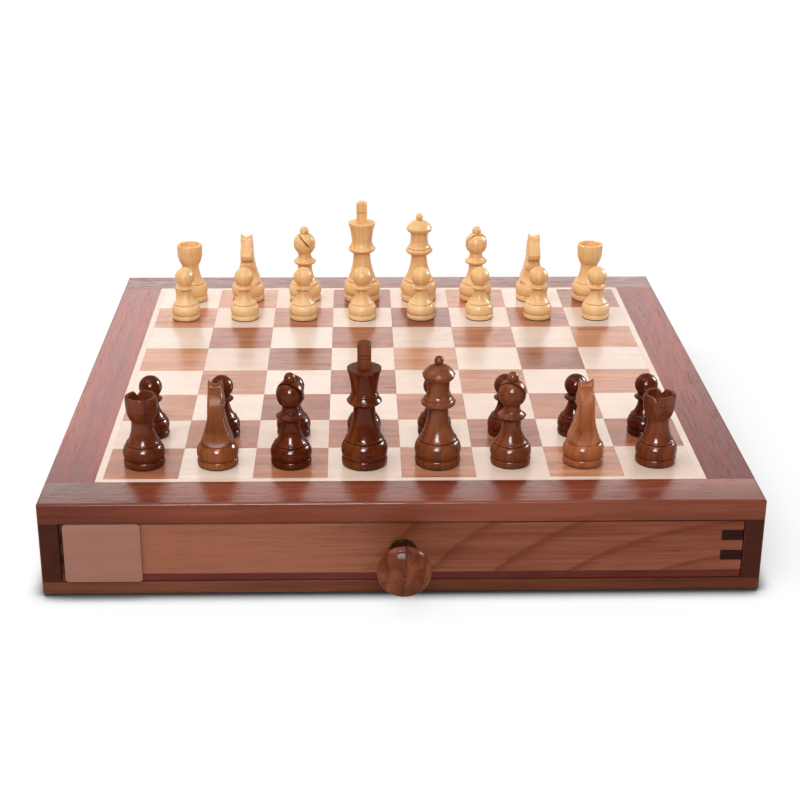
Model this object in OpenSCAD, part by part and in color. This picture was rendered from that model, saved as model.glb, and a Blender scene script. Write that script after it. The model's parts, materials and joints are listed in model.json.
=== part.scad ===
// Chess box: an inlaid board on a low box with a drawer at the front and one at the back,
// and the thirty-two chessmen standing at their starting places.
// Frame: +Z up, -Y towards the player with the dark men, origin under the middle of the box.

/* [Box] */
// Width and depth of the square box
box_w = 400; // [380:1:420]
// Height of the box without its pads
box_h = 55; // [52:0.5:60]
// Width of the border boards round the playing field
border_w = 28; // [24:0.5:32]
// Thickness of the border boards
border_t = 12; // [11:0.5:14]
// Thickness of the two side walls
wall_t = 11; // [9:0.5:14]
// Thickness of the bottom board
bottom_t = 7; // [5:0.5:9]
// Thickness of the wall between the two drawers
middle_t = 8; // [6:0.5:12]
// Rounding along the outer edges of the top
edge_r = 1.6; // [0.8:0.2:3]
// Thickness of the felt pads under the box
pad_t = 1.5; // [1:0.1:2.5]
// Diameter of the felt pads
pad_d = 18; // [12:1:25]

/* [Playing field] */
// Width of the pale stringing round the squares
string_w = 4; // [2:0.5:6]
// Thickness of the veneer squares and of the stringing
tile_t = 1; // [0.6:0.2:3]
// Glue line between neighbouring squares
glue_gap = 0.06; // [0.04:0.02:0.2]

/* [Drawers] */
// Thickness of a drawer's face, sides and back
drawer_t = 12; // [10:0.5:13]
// Thickness of a drawer's bottom panel
panel_t = 4.5; // [3:0.5:6]
// Number of fingers at each corner, gaps counted
finger_count = 5; // [3:2:7]
// Play between a drawer and the box at its sides
side_play = 0.5; // [0.3:0.1:1]
// Play between a drawer and the box above and below
rise_play = 0.35; // [0.3:0.05:0.8]
// Depth by which a drawer's face stands back from the box's face
face_recess = 0.5; // [0.2:0.1:1.5]
// Thickness of the dividers in a drawer
divider_t = 4; // [3:0.5:6]
// Height of the dividers in a drawer
divider_h = 22; // [16:1:26]
// Thickness of the felt lining in a drawer
lining_t = 0.8; // [0.5:0.1:1.5]
// Diameter of a drawer's knob
knob_d = 30; // [24:1:34]
// Distance by which a knob stands out of the drawer's face
knob_out = 30; // [20:1:32]
// Width of the bare plate on the front drawer
plate_w = 43.5; // [30:0.5:60]
// Height of the bare plate
plate_h = 35; // [25:0.5:35]
// Thickness of the bare plate
plate_t = 1.8; // [1:0.1:3]

/* [Chessmen] */
// Height of a king
king_h = 74; // [68:0.5:78]
// Diameter of a king's foot
king_d = 26.6; // [24:0.2:28]
// Height of a queen
queen_h = 65.3; // [60:0.5:70]
// Diameter of a queen's foot
queen_d = 26.6; // [24:0.2:28]
// Height of a bishop
bishop_h = 55.5; // [50:0.5:60]
// Diameter of a bishop's foot
bishop_d = 23.6; // [22:0.2:26]
// Height of a knight
knight_h = 51.5; // [46:0.5:54]
// Diameter of a knight's foot
knight_d = 23.8; // [22:0.2:26]
// Height of a rook
rook_h = 42; // [38:0.5:46]
// Diameter of a rook's foot
rook_d = 23.8; // [22:0.2:26]
// Height of a pawn
pawn_h = 37.5; // [34:0.5:41]
// Diameter of a pawn's foot
pawn_d = 20.2; // [18:0.2:22]

/* [Hidden] */
$fn = 64;
files = 8;                                      // squares along each side of the board
walnut = "#7d5242";
light_wood = "#e9cfb4";
square_brown = "#b98d74";
dark_men = "#5a2a1c";
light_men = "#dfae6d";
felt_green = "#2f4a3a";

bottom_z = pad_t;                               // underside of the bottom board
bay_z = bottom_z + bottom_t;                    // floor of the drawer bays
top_z = bottom_z + box_h;                       // playing surface
frame_z = top_z - border_t;                     // underside of the top frame
bay_w = box_w - 2 * wall_t;
half = box_w / 2;
field_w = box_w - 2 * border_w;
square_w = (field_w - 2 * string_w) / files;

groove_d = 6;                                   // depth of the groove that holds the core panel
tongue_t = 4;                                   // thickness of the core panel's tongue
core_t = border_t - tile_t - 2;                 // thickness of the core panel
core_z = top_z - tile_t - core_t;
tongue_z = core_z + (core_t - tongue_t) / 2;

drawer_w = bay_w - 2 * side_play;
drawer_z = bay_z + rise_play;                   // underside of a drawer
rim_z = frame_z - rise_play;                    // rim of a drawer
wood_z = drawer_z + panel_t;                    // underside of a drawer's four boards
finger_h = (rim_z - wood_z) / finger_count;
face_y = -half + face_recess;                   // outer face of the front drawer
stop_y = -middle_t / 2 - rise_play;             // back of the front drawer
drawer_d = stop_y - face_y;
inner_w = drawer_w - 2 * drawer_t;
inner_d = drawer_d - 2 * drawer_t;
inner_y = face_y + drawer_t;
lap = divider_h / 2;                            // depth of the half laps where dividers cross
lap_play = 0.1;                                 // play in those half laps
divider_columns = 3;
knob_z = bottom_z + 24.5;
tenon_d = 10;                                   // dowel end of a knob
tenon_l = 9;
plate_x = -drawer_w / 2 + 1;                    // left edge of the plate
plate_z = drawer_z + 0.3;

back_row = ["rook", "knight", "bishop", "king", "queen", "bishop", "knight", "rook"];

// ---- Box -----------------------------------------------------------------------------

// Everything inside the box's outline, with its upright and upper edges rounded.
module outline() {
    intersection() {
        translate([-half, -half, 0]) linear_extrude(top_z) rounded_square(box_w, box_w, edge_r);
        rotate([90, 0, 0]) linear_extrude(box_w + 2, center = true) eased_top();
        rotate([90, 0, 90]) linear_extrude(box_w + 2, center = true) eased_top();
    }
}

module eased_top() {
    drop = 20;                                  // the lower corners stay square
    translate([-half, -drop]) rounded_square(box_w, top_z + drop, edge_r);
}

module rounded_square(w, h, r) {
    translate([r, 0]) square([w - 2 * r, h]);
    translate([0, r]) square([w, h - 2 * r]);
    for (x = [r, w - r], y = [r, h - r])
        translate([x, y]) circle(r);
}

module slab(x0, x1, y0, y1, z0, z1) {
    translate([x0, y0, z0]) cube([x1 - x0, y1 - y0, z1 - z0]);
}

// Groove round the inside of the top frame, the width of the core panel's tongue.
module core_tongue() {
    reach = field_w / 2 + groove_d;
    slab(-reach, reach, -reach, reach, tongue_z, tongue_z + tongue_t);
}

// Border board along the front or, turned round, along the back, over the full width.
module long_rail() {
    color(walnut) difference() {
        intersection() {
            slab(-half, half, -half, -half + border_w, frame_z, top_z);
            outline();
        }
        core_tongue();
    }
}

// Border board at a side, between the two long ones.
module short_rail() {
    color(walnut) difference() {
        intersection() {
            slab(-half, -half + border_w, -field_w / 2, field_w / 2, frame_z, top_z);
            outline();
        }
        core_tongue();
    }
}

module top_rail_front() long_rail();
module top_rail_back() rotate(180) long_rail();
module top_rail_left() short_rail();
module top_rail_right() rotate(180) short_rail();

module board_core() {
    color("tan") union() {
        slab(-field_w / 2, field_w / 2, -field_w / 2, field_w / 2, core_z, core_z + core_t);
        core_tongue();
    }
}

// One colour of the squares: parity 0 has the corner square at the dark player's left.
module squares(parity) {
    start = -field_w / 2 + string_w + glue_gap / 2;
    tile_w = square_w - glue_gap;
    for (i = [0 : files - 1], j = [0 : files - 1])
        if ((i + j) % 2 == parity)
            translate([start + i * square_w, start + j * square_w, top_z - tile_t])
                cube([tile_w, tile_w, tile_t]);
}

module dark_squares() color(square_brown) squares(0);
module light_squares() color(light_wood) squares(1);

// Four strips round the squares, the two side ones between the other two.
module stringing() {
    inner = field_w / 2 - string_w;
    color(light_wood) for (turn = [0, 180]) rotate(turn) {
        slab(-field_w / 2, field_w / 2, -field_w / 2, -inner, top_z - tile_t, top_z);
        slab(-field_w / 2, -inner, -inner + glue_gap, inner - glue_gap, top_z - tile_t, top_z);
    }
}

module side_wall() {
    color(walnut) intersection() {
        slab(-half, -half + wall_t, -half, half, bay_z, frame_z);
        outline();
    }
}

module side_wall_left() side_wall();
module side_wall_right() rotate(180) side_wall();

module bottom_board() {
    color(walnut) intersection() {
        slab(-half, half, -half, half, bottom_z, bay_z);
        outline();
    }
}

module middle_wall() {
    color(walnut) slab(-bay_w / 2, bay_w / 2, -middle_t / 2, middle_t / 2, bay_z, frame_z);
}

module felt_pads() {
    inset = 24;                                 // pad centre from the box's sides
    color(felt_green) for (x = [-1, 1], y = [-1, 1])
        translate([x * (half - inset), y * (half - inset), 0]) cylinder(d = pad_d, h = pad_t);
}

// ---- Drawers -------------------------------------------------------------------------

// The fingers of one corner: every second slice of the board's height, from the slice first.
module finger_slices(first) {
    for (i = [first : 2 : finger_count - 1])
        translate([0, 0, wood_z + i * finger_h]) children();
}

// Board across a drawer whose outer face is at y, with a socket for each finger of the sides.
module cross_board(y) {
    difference() {
        slab(-drawer_w / 2, drawer_w / 2, y, y + drawer_t, wood_z, rim_z);
        for (x = [-drawer_w / 2, drawer_w / 2 - drawer_t])
            finger_slices(1) translate([x, y, 0]) cube([drawer_t, drawer_t, finger_h]);
    }
}

module drawer_face() {
    color(walnut) difference() {
        cross_board(face_y);
        translate([0, face_y, knob_z]) rotate([-90, 0, 0]) cylinder(d = tenon_d, h = tenon_l);
    }
}

module drawer_back() color(walnut) cross_board(stop_y - drawer_t);

// The two sides, whose fingers run out through the face and the back.
module drawer_sides() {
    color(walnut) for (x = [-drawer_w / 2, drawer_w / 2 - drawer_t]) translate([x, 0, 0]) {
        translate([0, inner_y, wood_z]) cube([drawer_t, inner_d, rim_z - wood_z]);
        finger_slices(1) translate([0, face_y, 0]) cube([drawer_t, drawer_d, finger_h]);
    }
}

module drawer_bottom() {
    color("peru") slab(-drawer_w / 2, drawer_w / 2, face_y, stop_y, drawer_z, wood_z);
}

module drawer_lining() {
    color(felt_green) slab(-inner_w / 2, inner_w / 2, inner_y, inner_y + inner_d,
        wood_z, wood_z + lining_t);
}

// Egg crate of one long and two short boards, half-lapped where they cross.
module drawer_dividers() {
    floor_z = wood_z + lining_t;
    long_y = inner_y + inner_d / 2;
    slot_w = divider_t + 2 * lap_play;
    color("tan") {
        difference() {
            slab(-inner_w / 2, inner_w / 2, long_y - divider_t / 2, long_y + divider_t / 2,
                floor_z, floor_z + divider_h);
            for (x = divider_places())
                slab(x - slot_w / 2, x + slot_w / 2, long_y - divider_t, long_y + divider_t,
                    floor_z + lap, floor_z + divider_h + 1);
        }
        for (x = divider_places()) difference() {
            slab(x - divider_t / 2, x + divider_t / 2, inner_y, inner_y + inner_d,
                floor_z, floor_z + divider_h);
            slab(x - divider_t, x + divider_t, long_y - slot_w / 2, long_y + slot_w / 2,
                floor_z - 1, floor_z + lap + lap_play);
        }
    }
}

function divider_places() =
    [for (i = [1 : divider_columns - 1]) -inner_w / 2 + i * inner_w / divider_columns];

// Turned mushroom knob on a dowel, its axis out of the drawer's face.
module drawer_knob() {
    r = knob_d / 2;
    neck_r = r * 0.4;
    flange_t = 2.2;
    cap_out = knob_out * 0.55;                  // where the neck meets the cap
    rim_out = knob_out * 0.83;                  // widest place of the cap
    rim_t = 0.8;
    step = 0.1;                                 // by which that rim stands out of both slopes
    color(dark_men) translate([0, face_y, knob_z]) rotate([90, 0, 0]) rotate_extrude() {
        translate([0, -tenon_l]) square([tenon_d / 2, tenon_l]);
        drum(neck_r + 1.9, 0, flange_t);
        cove(neck_r + 1.7, flange_t, neck_r, cap_out, 0.8);
        swell(neck_r + 0.5, cap_out, r - step, rim_out, 1.6);
        drum(r, rim_out, rim_out + rim_t);
        dome(r - step, rim_out + rim_t, knob_out);
    }
}

// Thin bare plate glued to the left end of the front drawer's face.
module name_plate() {
    corner_r = 2;
    color("#c9a58f") translate([plate_x, face_y, plate_z]) rotate([90, 0, 0])
        linear_extrude(plate_t) rounded_square(plate_w, plate_h, corner_r);
}

module front_drawer_face() drawer_face();
module front_drawer_sides() drawer_sides();
module front_drawer_back() drawer_back();
module front_drawer_bottom() drawer_bottom();
module front_drawer_dividers() drawer_dividers();
module front_drawer_lining() drawer_lining();
module front_drawer_knob() drawer_knob();
module rear_drawer_face() rotate(180) drawer_face();
module rear_drawer_sides() rotate(180) drawer_sides();
module rear_drawer_back() rotate(180) drawer_back();
module rear_drawer_bottom() rotate(180) drawer_bottom();
module rear_drawer_dividers() rotate(180) drawer_dividers();
module rear_drawer_lining() rotate(180) drawer_lining();
module rear_drawer_knob() rotate(180) drawer_knob();

// ---- Turning: half sections, radius along x and height along y --------------------------

spare = 1;                                      // stock outside a cut, turned away again

module drum(r, z0, z1) {
    translate([0, z0]) square([r, z1 - z0]);
}

function chord(r0, z0, r1, z1) = norm([r1 - r0, z1 - z0]);
function arc_r(c, bow) = (c * c / 4 + bow * bow) / (2 * bow);

// Circle through two points of the section whose arc stands off their chord by bow,
// outwards for side 1 and towards the axis for side -1.
module arc_disc(r0, z0, r1, z1, bow, side) {
    c = chord(r0, z0, r1, z1);
    off = side * (arc_r(c, bow) - bow);         // centre from the chord, away from the arc
    translate([(r0 + r1) / 2 - off * (z1 - z0) / c, (z0 + z1) / 2 + off * (r1 - r0) / c])
        circle(arc_r(c, bow));
}

// Hollow stretch from one radius to another.
module cove(r0, z0, r1, z1, bow) {
    difference() {
        drum(max(r0, r1) + spare, z0, z1);
        arc_disc(r0, z0, r1, z1, bow, -1);
    }
}

// Full, rounded stretch from one radius to another.
module swell(r0, z0, r1, z1, bow) {
    drum(0.8 * min(r0, r1), z0, z1);
    intersection() {
        drum(max(r0, r1) + bow + spare, z0, z1);
        arc_disc(r0, z0, r1, z1, bow, 1);
    }
}

// Low dome that closes a turning: radius r at z0, its top at z1.
module dome(r, z0, z1) {
    ball_r = (r * r + (z1 - z0) * (z1 - z0)) / (2 * (z1 - z0));
    intersection() {
        drum(r + spare, z0, z1 + spare);
        translate([0, z1 - ball_r]) circle(ball_r);
    }
}

// Ball whose centre is on the axis.
module ball(r, z) {
    intersection() {
        drum(r + spare, z - r - spare, z + r + spare);
        translate([0, z]) circle(r);
    }
}

// Foot that all chessmen share: ring, groove and belly. d is its width, h its height.
module foot(d, h) {
    r = d / 2;
    ring_z = 0.33 * h;
    groove_z = 0.38 * h;
    swell(0.96 * r, 0, 0.95 * r, ring_z, 0.03 * r);
    drum(0.9 * r, ring_z, groove_z);
    swell(0.95 * r, groove_z, 0.84 * r, h, 0.1 * r);
}

// Bead between the foot of a turned man and its stem.
module bead(d, z0, z1) {
    swell(0.39 * d, z0, 0.39 * d, z1, 0.025 * d);
}

// Disc between a stem and a head: a bevel below its rim and a cove above it.
module collar(r, neck_r, z0, rim_z, z1, top_r) {
    rim_t = 0.5;
    step = 0.12;                                // by which the rim stands out of both slopes
    swell(neck_r, z0, r - step, rim_z, 0.35);
    drum(r, rim_z, rim_z + rim_t);
    cove(r - step, rim_z + rim_t, top_r, z1, 0.07 * (z1 - rim_z));
}

// ---- Chessmen: u and v scale their drawn heights and widths -----------------------------

module king() {
    u = king_h / 74;
    v = king_d / 26.6;
    crown_z = 58.5 * u;
    sunk = 1 * u;                               // depth of the finial in the crown
    rotate_extrude() {
        foot(king_d, 14.8 * u);
        bead(king_d, 14.8 * u, 16.4 * u);
        cove(10.2 * v, 16.4 * u, 6.1 * v, 36 * u, 1 * v);
        collar(10 * v, 7.2 * v, 36 * u, 38.6 * u, 43 * u, 7.8 * v);
        drum(7.5 * v, 43 * u, 43.8 * u);
        cove(7.3 * v, 43.8 * u, 9.4 * v, 57 * u, 0.35 * v);
        drum(9.7 * v, 57 * u, crown_z);
    }
    translate([0, 0, crown_z - sunk]) finial(7.8 * v, 7 * v, king_h - crown_z + sunk);
}

// Cross-shaped finial: an upright block with a rounded top, and a groove across its front and
// its back under the arms of the cross.
module finial(w, t, h) {
    notch_r = 0.16 * w;
    notch_z = 0.5 * h;
    top_r = 0.75 * w;
    shoulder_z = h - 0.3 * w;
    difference() {
        rotate([90, 0, 0]) linear_extrude(t, center = true) {
            translate([-w / 2, 0]) square([w, shoulder_z]);
            intersection() {
                translate([-w / 2, shoulder_z]) square([w, h]);
                translate([0, h - top_r]) circle(top_r);
            }
        }
        for (y = [-t / 2, t / 2]) translate([0, y, notch_z])
            rotate([0, 90, 0]) cylinder(r = notch_r, h = 2 * w, center = true);
    }
}

module queen() {
    u = queen_h / 65.3;
    v = queen_d / 26.6;
    rotate_extrude() {
        foot(queen_d, 14.8 * u);
        bead(queen_d, 14.8 * u, 16.4 * u);
        cove(10.2 * v, 16.4 * u, 5.7 * v, 35 * u, 1.2 * v);
        swell(7 * v, 35 * u, 9.6 * v, 37 * u, 0.3 * v);
        drum(9.8 * v, 37 * u, 38.3 * u);
        cove(9.3 * v, 38.3 * u, 8.1 * v, 39.4 * u, 0.1 * v);
        drum(8.4 * v, 39.4 * u, 40.4 * u);
        cove(8 * v, 40.4 * u, 6.8 * v, 43.4 * u, 0.3 * v);
        cove(6.5 * v, 43.4 * u, 6.7 * v, 52 * u, 0.4 * v);
        swell(8.3 * v, 52 * u, 9.4 * v, 54.7 * u, 0.2 * v);
        dome(9.2 * v, 54.7 * u, 60.4 * u);
        ball(2.7 * v, queen_h - 2.7 * v);
    }
}

module bishop() {
    u = bishop_h / 55.5;
    v = bishop_d / 23.6;
    slot_w = 1.4 * u;
    slot_tilt = 20;
    slot_turn = -115;                           // towards the front and a little to the left
    difference() {
        rotate_extrude() {
            foot(bishop_d, 12.4 * u);
            bead(bishop_d, 12.4 * u, 13.8 * u);
            cove(8.9 * v, 13.8 * u, 5.1 * v, 26.8 * u, 1.1 * v);
            collar(8.2 * v, 5.8 * v, 26.8 * u, 29.2 * u, 32 * u, 5.5 * v);
            cove(5 * v, 32 * u, 4.7 * v, 36 * u, 0.2 * v);
            swell(4.9 * v, 36 * u, 7.8 * v, 43.4 * u, 1.1 * v);
            swell(7.9 * v, 43.4 * u, 2.6 * v, 50.5 * u, 1.4 * v);
            ball(3.3 * v, bishop_h - 3.3 * v);
        }
        // mitre slot, sawn steeply down into the head in front of the bead
        rotate(slot_turn) translate([2.5 * v, 0, 46 * u]) rotate([0, slot_tilt, 0])
            translate([-slot_w / 2, -bishop_d / 2, -6 * u]) cube([slot_w, bishop_d, 15 * u]);
    }
}

// A rook's battlements are left between two V-shaped cuts across its rim.
module rook(notch_turn) {
    u = rook_h / 42;
    v = rook_d / 23.8;
    cup_z = 36.6 * u;
    notch_w = 4.6 * v;                          // at the rim
    notch_h = 3 * u;
    rise = 2;                                   // height of the cutter over that of the notch
    difference() {
        rotate_extrude() {
            foot(rook_d, 13 * u);
            bead(rook_d, 13 * u, 14.4 * u);
            cove(9 * v, 14.4 * u, 6.2 * v, 27.6 * u, 0.9 * v);
            swell(6.7 * v, 27.6 * u, 9 * v, 37 * u, 0.7 * v);
            swell(9.15 * v, 37 * u, 8.95 * v, rook_h, 0.12 * v);
        }
        translate([0, 0, cup_z]) cylinder(r = 7 * v, h = rook_h);
        for (turn = [notch_turn, notch_turn + 90])
            translate([0, 0, rook_h - notch_h]) rotate([90, 0, turn])
                linear_extrude(2 * rook_d, center = true)
                    polygon([[0, 0], [rise * notch_w / 2, rise * notch_h],
                        [-rise * notch_w / 2, rise * notch_h]]);
    }
}

module pawn() {
    u = pawn_h / 37.5;
    v = pawn_d / 20.2;
    head_r = 6.8 * v;
    rotate_extrude() {
        foot(pawn_d, 11 * u);
        bead(pawn_d, 11 * u, 12.2 * u);
        cove(7.6 * v, 12.2 * u, 4.2 * v, 21.4 * u, 0.8 * v);
        collar(6.7 * v, 4.8 * v, 21.4 * u, 22.8 * u, 24.8 * u, 4.7 * v);
        drum(4.2 * v, 24.8 * u, 26.2 * u);
        ball(head_r, pawn_h - head_r);
    }
}

// Points of an arc from a to b, without b, standing off their chord by bow to its left.
function arc(a, b, bow, steps = 6) =
    let (c = norm(b - a),
         along = (b - a) / c,
         left = [-along[1], along[0]],
         r = arc_r(c, abs(bow)),
         lean = asin(min(1, c / 2 / r)))
    [for (i = [0 : steps - 1])
        let (t = -lean + 2 * lean * i / steps)
        (a + b) / 2 + along * r * sin(t) + left * sign(bow) * (r * cos(t) - r + abs(bow))];

// Side view of the carved head, muzzle towards +x: chest, jaw, face, ear and mane in turn.
function knight_side(u, v) = [for (p = concat(
    arc([10.2, 13.2], [5.6, 23], 1.2),
    arc([5.6, 23], [4.4, 31.2], -1.2),
    arc([4.4, 31.2], [9.6, 32.2], -0.5, 3),
    arc([9.6, 32.2], [11.4, 37], -1, 4),
    arc([11.4, 37], [5.2, 45.4], 0.5, 4),
    arc([5.2, 45.4], [2, 51.5], -0.6, 3),
    arc([2, 51.5], [-1.2, 47], -0.5, 3),
    arc([-1.2, 47], [-8.6, 36.6], -1.6),
    arc([-8.6, 36.6], [-7.6, 22], -1),
    arc([-7.6, 22], [-10.2, 13.2], 0.9, 4),
    [[-10.2, 13.2]])) [p[0] * v, p[1] * u]];

// View of the head from the front: a slab that spreads into the foot, with the two ears on top.
function knight_front(u, v) = [for (p = concat(
    arc([10.2, 13.2], [4.7, 31], 0.6),
    [[4.7, 31], [4.2, 51.5], [3.5, 51.5]],
    arc([3.5, 51.5], [-3.5, 51.5], 3.4, 8),
    [[-3.5, 51.5], [-4.2, 51.5], [-4.7, 31]],
    arc([-4.7, 31], [-10.2, 13.2], 0.6),
    [[-10.2, 13.2]])) [p[0] * v, p[1] * u]];

module knight() {
    u = knight_h / 51.5;
    v = knight_d / 23.8;
    neck_z = 13.2 * u;
    difference() {
        intersection() {
            rotate([90, 0, 90]) linear_extrude(knight_d, center = true) polygon(knight_side(u, v));
            rotate([90, 0, 0]) linear_extrude(2 * knight_d, center = true)
                polygon(knight_front(u, v));
            // keeps the lower end round, to sit on the turned foot
            translate([0, 0, neck_z]) cylinder(r1 = 10.2 * v, r2 = 24 * v, h = knight_h);
        }
        // slot under the jaw
        translate([0, 8.6 * v, 31 * u]) rotate([-14, 0, 0]) cube([knight_d, 8 * v, 1.6 * u], true);
        // mouth
        translate([0, 11.2 * v, 34.9 * u]) rotate([-28, 0, 0]) cube([knight_d, 5 * v, 0.7 * u], true);
        for (side = [-1, 1]) {
            translate([side * 5.3 * v, 4.6 * v, 42 * u]) sphere(1.5 * v);
            translate([side * 4.9 * v, 10 * v, 37.4 * u]) sphere(0.8 * v);
            for (z = [25 : 4.5 : 45])
                translate([side * 5.3 * v, -9.4 * v, z * u]) rotate([35, 0, 0])
                    cube([2.2 * v, 8 * v, 0.8 * u], true);
        }
    }
    rotate_extrude() foot(knight_d, neck_z);
}

// A man on its square: file and rank count from the dark player's left, and the light men
// are turned to face the dark ones.
module man_at(kind, file, rank) {
    place = square_w * [file - (files - 1) / 2, rank - (files - 1) / 2];
    translate([place[0], place[1], top_z]) rotate(rank < files / 2 ? 0 : 180) {
        if (kind == "king") king();
        if (kind == "queen") queen();
        if (kind == "bishop") bishop();
        if (kind == "knight") knight();
        if (kind == "rook") rook(file < files / 2 ? 20 : -20);
        if (kind == "pawn") pawn();
    }
}

function side_of(file) = file < files / 2 ? "_left" : "_right";
function officer_node(shade, file) =
    let (kind = back_row[file])
    str(shade, "_", kind, kind == "king" || kind == "queen" ? "" : side_of(file));
function pawn_node(shade, file) = str(shade, "_pawn_", file + 1);
function tone(shade) = shade == "dark" ? dark_men : light_men;

module officer(shade, file) {
    color(tone(shade)) man_at(back_row[file], file, shade == "dark" ? 0 : files - 1);
}

module pawn_of(shade, file) {
    color(tone(shade)) man_at("pawn", file, shade == "dark" ? 1 : files - 2);
}

top_rail_front();
top_rail_back();
top_rail_left();
top_rail_right();
board_core();
light_squares();
dark_squares();
stringing();
side_wall_left();
side_wall_right();
bottom_board();
middle_wall();
felt_pads();
front_drawer_face();
front_drawer_sides();
front_drawer_back();
front_drawer_bottom();
front_drawer_dividers();
front_drawer_lining();
front_drawer_knob();
name_plate();
rear_drawer_face();
rear_drawer_sides();
rear_drawer_back();
rear_drawer_bottom();
rear_drawer_dividers();
rear_drawer_lining();
rear_drawer_knob();
for (shade = ["dark", "light"], file = [0 : files - 1]) {
    officer(shade, file);
    pawn_of(shade, file);
}
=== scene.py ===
import itertools
import json
import math

import bmesh
import bpy
import numpy as np
from mathutils import Matrix, Vector

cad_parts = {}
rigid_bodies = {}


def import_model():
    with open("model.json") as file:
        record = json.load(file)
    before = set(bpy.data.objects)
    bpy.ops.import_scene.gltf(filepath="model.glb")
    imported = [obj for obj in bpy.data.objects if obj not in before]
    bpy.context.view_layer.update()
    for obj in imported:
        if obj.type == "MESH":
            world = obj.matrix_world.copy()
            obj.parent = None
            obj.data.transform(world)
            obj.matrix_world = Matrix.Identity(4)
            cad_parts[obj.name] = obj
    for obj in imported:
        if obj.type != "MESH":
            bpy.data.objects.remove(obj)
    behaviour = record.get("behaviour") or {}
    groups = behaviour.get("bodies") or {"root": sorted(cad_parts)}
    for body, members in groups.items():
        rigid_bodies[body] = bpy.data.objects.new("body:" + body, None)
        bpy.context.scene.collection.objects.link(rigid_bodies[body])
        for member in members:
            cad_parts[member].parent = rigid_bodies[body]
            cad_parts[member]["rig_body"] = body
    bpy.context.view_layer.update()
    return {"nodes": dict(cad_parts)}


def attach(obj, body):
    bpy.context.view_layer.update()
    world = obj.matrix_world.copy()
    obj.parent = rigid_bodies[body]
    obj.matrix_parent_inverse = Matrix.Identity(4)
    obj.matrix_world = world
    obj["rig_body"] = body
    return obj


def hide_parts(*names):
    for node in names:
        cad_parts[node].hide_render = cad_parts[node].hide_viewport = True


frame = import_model()


# ---- Camera ------------------------------------------------------------------------------
# It stands a metre in front of the box, a little left of its middle, and looks down over
# the near edge as in the photograph.

eye = Vector((-0.0254, -0.9985, 0.4432))
turned_by, dip, lean = 0.0289, 0.3879, 0.0064  # radians
ahead = Vector((math.sin(turned_by) * math.cos(dip), math.cos(turned_by) * math.cos(dip),
                -math.sin(dip)))
level = Vector((math.cos(turned_by), -math.sin(turned_by), 0))
upright = level.cross(ahead)
across = math.cos(lean) * level + math.sin(lean) * upright
upward = math.cos(lean) * upright - math.sin(lean) * level

lens = bpy.data.cameras.new("camera")
lens.sensor_width, lens.lens = 36, 73.06
camera = bpy.data.objects.new("camera", lens)
camera.matrix_world = (Matrix.Translation(eye)
                       @ Matrix((across, upward, -ahead)).transposed().to_4x4())
bpy.context.scene.collection.objects.link(camera)
bpy.context.scene.camera = camera
bpy.context.scene.view_settings.view_transform = "Standard"


# ---- Table and room ----------------------------------------------------------------------
# A white table that runs out of sight, in front of a white backdrop. Both show as plain
# white, and a soft shadow of the box is painted on the table, by dimming its glow where
# little room is open round it. The room behind the camera is dim.

class Port:
    """A socket in the nodes of a finish, which is reckoned with like a number."""

    def __init__(self, tree, socket=None):
        self.tree, self.socket = tree, socket

    def node(self, kind, settings=None, sockets=None, out=0):
        """A new node of that kind, as its output socket. Stops are a colour ramp's."""
        made = self.tree.nodes.new("ShaderNode" + kind)
        for name, value in (settings or {}).items():
            if name == "stops":
                for _ in value[2:]:
                    made.color_ramp.elements.new(0.5)
                for stop, (at, colour) in zip(made.color_ramp.elements, value):
                    stop.position, stop.color = at, (*colour, 1)
            else:
                setattr(made, name, value)
        for name, value in (sockets or {}).items():
            if isinstance(value, Port):
                self.tree.links.new(value.socket, made.inputs[name])
            else:
                made.inputs[name].default_value = value
        return Port(self.tree, made.outputs[out] if made.outputs else None)

    def maths(self, operation, *values):
        return self.node("Math", {"operation": operation}, dict(enumerate(values)))

    def __add__(self, other):
        return self.maths("ADD", self, other)

    def __sub__(self, other):
        return self.maths("SUBTRACT", self, other)

    def __rsub__(self, other):
        return self.maths("SUBTRACT", other, self)

    def __mul__(self, other):
        return self.maths("MULTIPLY", self, other)

    def __truediv__(self, other):
        return self.maths("DIVIDE", self, other)

    def __pow__(self, other):
        return self.maths("POWER", self, other)

    def __abs__(self):
        return self.maths("ABSOLUTE", self)

    __radd__, __rmul__ = __add__, __mul__

    def ease(self, start, end):
        """0 up to start, 1 from end, and a smooth rise between them."""
        return self.node("MapRange", {"interpolation_type": "SMOOTHSTEP"},
                         {0: self, 1: start, 2: end})

    def mix(self, first, second):
        """The first colour where this is 0, the second where it is 1."""
        first, second = [c if isinstance(c, Port) else (*c, 1) for c in (first, second)]
        return self.node("Mix", {"data_type": "RGBA"}, {0: self, 6: first, 7: second}, out=2)


def mirror_sight(nodes):
    """1 for a ray that a gloss or a glass sends out."""
    path = nodes.node("LightPath", out="Is Glossy Ray")
    path = path + nodes.node("LightPath", out="Is Transmission Ray")
    return path.node("Clamp", {}, {"Value": path})


room = bpy.data.worlds.new("room")
bpy.context.scene.world = room
room.use_nodes = True
room.node_tree.nodes.clear()
air = Port(room.node_tree)
room_light, dim_side, backdrop_side = 0.45, 0.10, 0.8
away = air.node("SeparateXYZ", {}, {0: air.node("TexCoord", out="Generated")}, out="Y")
mirrored = dim_side + (backdrop_side - dim_side) * away.ease(-0.3, 0.6)
air.node("OutputWorld", {}, {"Surface": air.node("Background", {}, {
    "Color": (1, 1, 1, 1),
    "Strength": (room_light + (1 - room_light) * air.node("LightPath", out="Is Camera Ray")
                 + (mirrored - room_light) * mirror_sight(air))})})


def new_finish(name):
    """An empty finish, and a port to start its nodes from."""
    finish = bpy.data.materials.new(name)
    finish.use_nodes = True
    finish.node_tree.nodes.clear()
    return finish, Port(finish.node_tree)


white_table, nodes = new_finish("white_table")


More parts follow.
